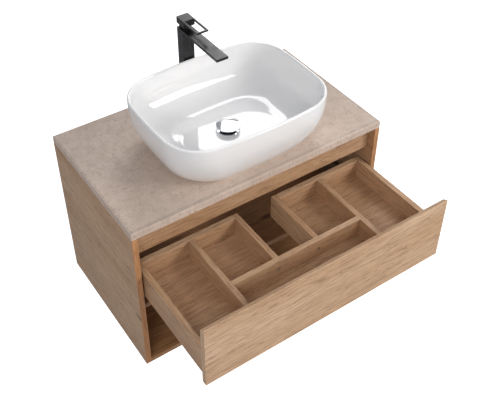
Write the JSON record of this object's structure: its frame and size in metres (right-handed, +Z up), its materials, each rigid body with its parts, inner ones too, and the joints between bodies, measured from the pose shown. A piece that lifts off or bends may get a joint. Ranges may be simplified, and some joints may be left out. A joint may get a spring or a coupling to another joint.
{
  "type": "wall-hung vanity with vessel basin",
  "caption": "Wall-hung vanity with a vessel basin, a tall single-lever tap, a pop-up waste, and a divided full-extension drawer over an open niche.",
  "frame": {"origin": "centre of the four wall screws, on the wall plane", "axes": "+X to the right along the counter, +Y towards the wall, +Z up"},
  "size_m": [0.8, 0.758, 0.8025],
  "materials": {
    "stone_top": "matt",
    "white_glaze": "gloss",
    "chrome": "polished",
    "rubber": "matt",
    "brass": "machined",
    "matt_black": "matt",
    "black_plastic": "matt",
    "zinc_steel": "zinc plated",
    "grey_plastic": "matt",
    "oak": "matt laminate"
  },
  "bodies": {
    "cabinet": {"bottom_panel": "oak", "middle_shelf": "oak", "top_front_rail": "oak", "top_back_rail": "oak", "niche_back": "oak", "countertop": "stone_top", "basin": "white_glaze", "basin_gasket": "rubber", "waste_body": "chrome", "waste_washer": "rubber", "waste_backnut": "brass", "tap_column": "matt_black", "tap_base": "matt_black", "tap_spout": "matt_black", "tap_aerator": "black_plastic", "tap_bonnet": "matt_black", "tap_cartridge": "brass", "tap_stud": "zinc_steel", "tap_rubber": "rubber", "tap_clamp": "zinc_steel", "tap_nut": "zinc_steel", "side_panel_left": "oak", "side_panel_right": "oak", "wall_plate_left": "zinc_steel", "wall_plate_right": "zinc_steel", "hanger_left": "zinc_steel", "hanger_right": "zinc_steel", "runner_cabinet_left": "zinc_steel", "runner_cabinet_right": "zinc_steel"},
    "drawer": {"drawer_front": "oak", "drawer_floor": "oak", "cross_divider": "oak", "drawer_side_left": "oak", "drawer_side_right": "oak", "drawer_back_left": "oak", "drawer_back_right": "oak", "long_divider_left": "oak", "long_divider_right": "oak", "siphon_side_left": "oak", "siphon_side_right": "oak", "divider_screw_left": "zinc_steel", "divider_screw_right": "zinc_steel", "runner_drawer_left": "zinc_steel", "runner_drawer_right": "zinc_steel", "front_clip_left": "grey_plastic", "front_clip_right": "grey_plastic"},
    "runner_middle": {"runner_middle_left": "zinc_steel", "runner_middle_right": "zinc_steel"},
    "waste_plug": {"waste_cap": "chrome", "waste_cap_seal": "rubber"},
    "tap_swivel": {"tap_stem": "brass"},
    "tap_handle": {"tap_lever": "matt_black", "tap_axle": "zinc_steel"}
  },
  "joints": [
    {"name": "drawer_slide", "type": "slide", "parent": "cabinet", "child": "drawer", "axis": [0, -1, 0], "range_m": [-0.298, 0.05]},
    {"name": "runner_slide", "type": "slide", "parent": "cabinet", "child": "runner_middle", "axis": [0, -1, 0], "range_m": [-0.149, 0.025]},
    {"name": "plug_lift", "type": "slide", "parent": "cabinet", "child": "waste_plug", "axis": [0, 0, 1], "range_m": [-0.007, 0]},
    {"name": "tap_turn", "type": "hinge", "parent": "cabinet", "child": "tap_swivel", "pos_m": [0, -0.07, 0.347], "axis": [0, 0, 1], "range_deg": [-45, 45]},
    {"name": "tap_lift", "type": "hinge", "parent": "tap_swivel", "child": "tap_handle", "pos_m": [0, -0.07, 0.347], "axis": [-1, 0, 0], "range_deg": [0, 22]}
  ],
  "couplings": [
    {"joint": "runner_slide", "follows": "drawer_slide", "ratio": 0.5}
  ]
}
